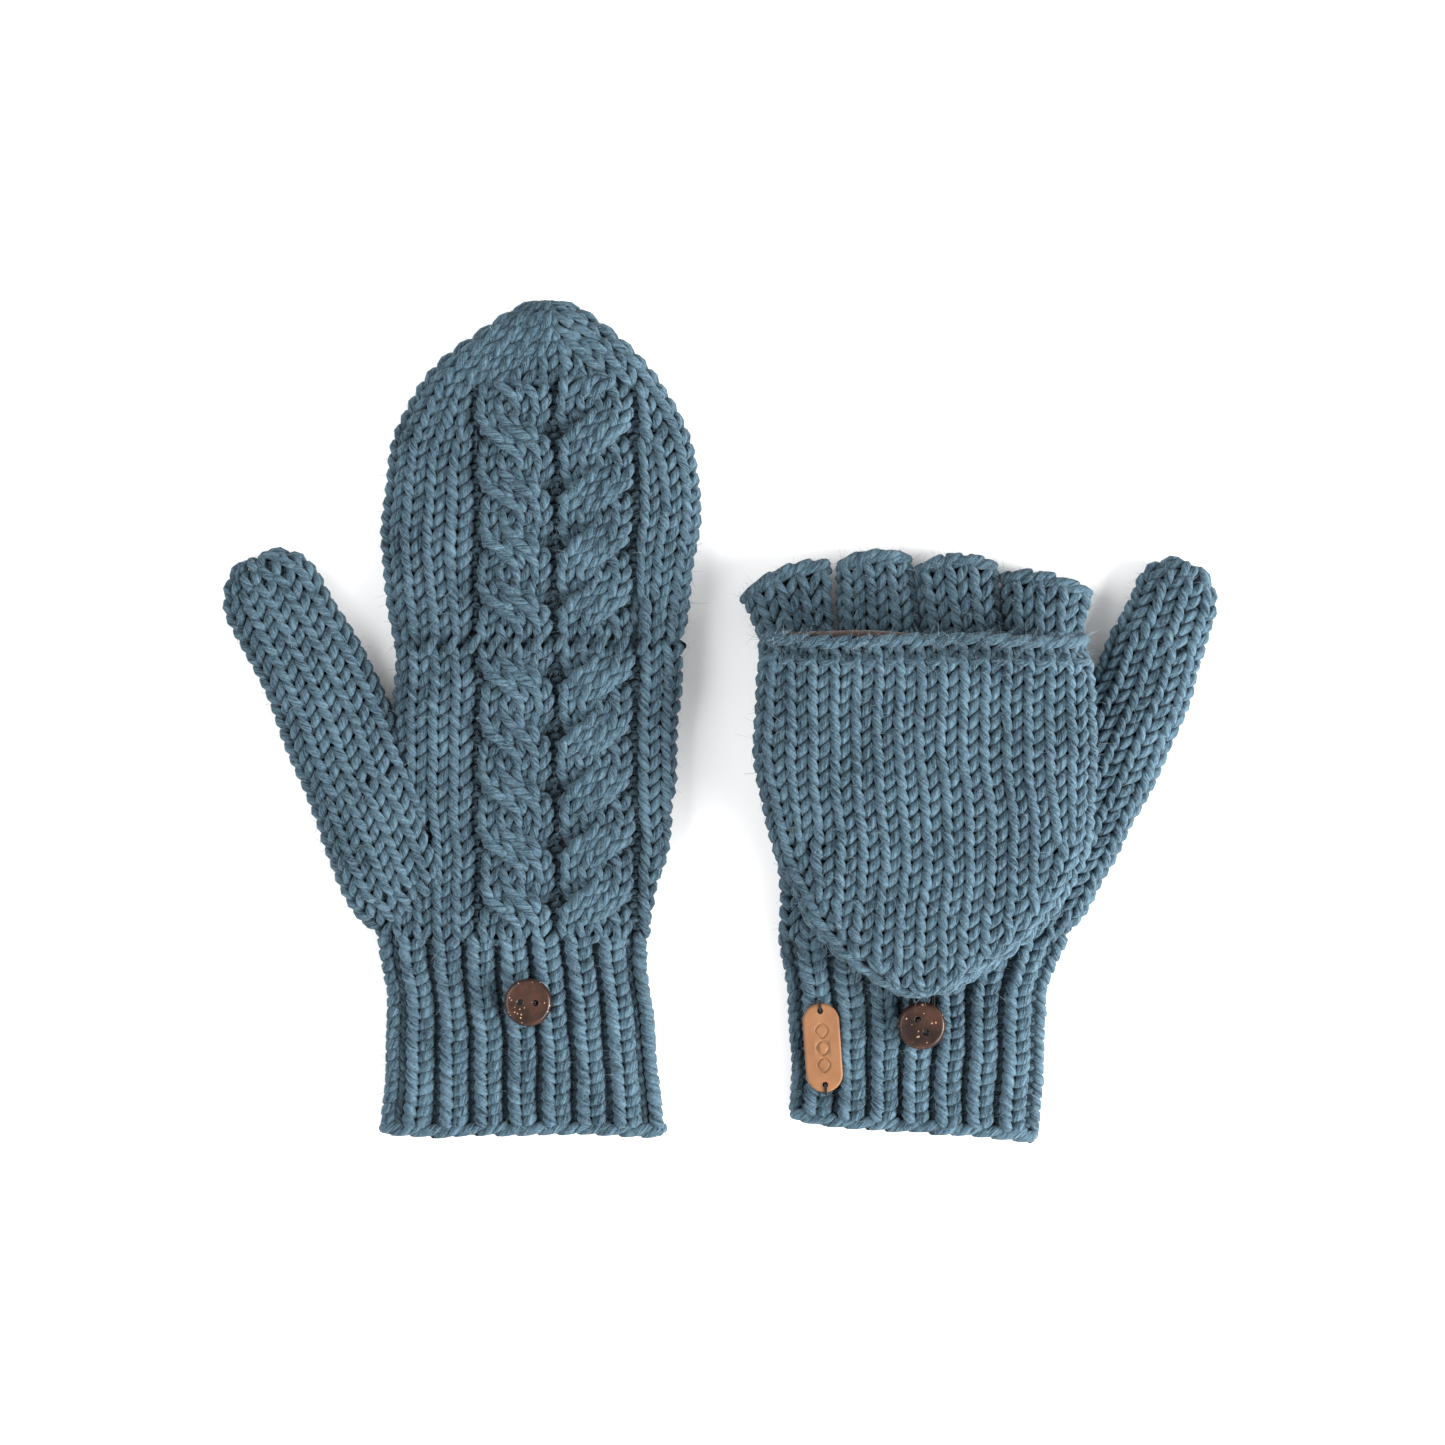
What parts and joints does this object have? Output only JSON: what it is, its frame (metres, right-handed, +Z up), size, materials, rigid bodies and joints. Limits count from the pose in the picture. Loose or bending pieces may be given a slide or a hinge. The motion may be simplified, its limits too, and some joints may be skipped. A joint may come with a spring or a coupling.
{
  "type": "convertible flip-top mittens",
  "caption": "Pair of chunky hand-knitted convertible mittens with flip-back caps, open finger tubes, full thumbs, coconut buttons and elastic loops.",
  "frame": {"origin": "middle of the pair's bounding box, on the surface that the palms lie on", "axes": "+X across the pair from the right-hand mitten to the left-hand one, +Y towards the fingertips, +Z up through the back of the hand"},
  "size_m": [0.3182, 0.2691, 0.0382],
  "materials": {
    "wool": "matte",
    "fleece": "matte",
    "coconut": "satin",
    "elastic": "matte",
    "leather": "satin",
    "thread": "matte"
  },
  "bodies": {
    "left_button": {"left_button": "coconut", "left_button_thread": "thread"},
    "left_button_loop": {"left_button_loop": "elastic"},
    "left_mitten": {"left_cuff": "wool", "left_flap_seam": "wool", "left_hand": "wool", "left_index_finger": "wool", "left_label": "leather", "left_label_stitches": "thread", "left_little_finger": "wool", "left_middle_finger": "wool", "left_ring_finger": "wool", "left_thumb": "wool"},
    "left_flap": {"left_flap_back": "wool", "left_flap_edge": "wool", "left_flap_lining": "fleece", "left_flap_palm": "wool"},
    "right_button": {"right_button": "coconut", "right_button_thread": "thread"},
    "right_button_loop": {"right_button_loop": "elastic"},
    "right_mitten": {"right_cuff": "wool", "right_flap_seam": "wool", "right_hand": "wool", "right_index_finger": "wool", "right_little_finger": "wool", "right_middle_finger": "wool", "right_ring_finger": "wool", "right_thumb": "wool"},
    "right_flap": {"right_flap_back": "wool", "right_flap_edge": "wool", "right_flap_lining": "fleece", "right_flap_palm": "wool"}
  },
  "joints": [
    {"name": "left_mitten_apart", "type": "slide", "parent": "right_mitten", "child": "left_mitten", "axis": [1, 0, 0], "range_m": [0, 0.1]},
    {"name": "right_flap_fold", "type": "hinge", "parent": "right_mitten", "child": "right_flap", "pos_m": [-0.0582, 0.0248, 0.0191], "axis": [1, 0, 0], "range_deg": [0, 177], "deforming": ["right_index_finger", "right_middle_finger", "right_ring_finger", "right_little_finger"]},
    {"name": "left_flap_fold", "type": "hinge", "parent": "left_mitten", "child": "left_flap", "pos_m": [0.0631, 0.026, 0.0191], "axis": [1, 0, 0], "range_deg": [-182.8, 0], "deforming": ["left_index_finger", "left_middle_finger", "left_ring_finger", "left_little_finger", "left_button_loop"]},
    {"name": "right_loop_swing", "type": "hinge", "parent": "right_flap", "child": "right_button_loop", "pos_m": [-0.0582, 0.1347, 0.00955], "axis": [1, 0, 0], "range_deg": [0, 170]},
    {"name": "left_loop_lift", "type": "hinge", "parent": "left_flap", "child": "left_button_loop", "pos_m": [0.0631, -0.08703, 0.02313], "axis": [1, 0, 0], "range_deg": [-8, 0]},
    {"name": "right_button_turn", "type": "hinge", "parent": "right_mitten", "child": "right_button", "pos_m": [-0.0613, -0.0882, 0.0175], "axis": [0, 0, 1], "range_deg": [-30, 30]},
    {"name": "left_button_turn", "type": "hinge", "parent": "left_mitten", "child": "left_button", "pos_m": [0.0628, -0.0956, 0.0174], "axis": [0, 0, 1], "range_deg": [-30, 30]}
  ]
}
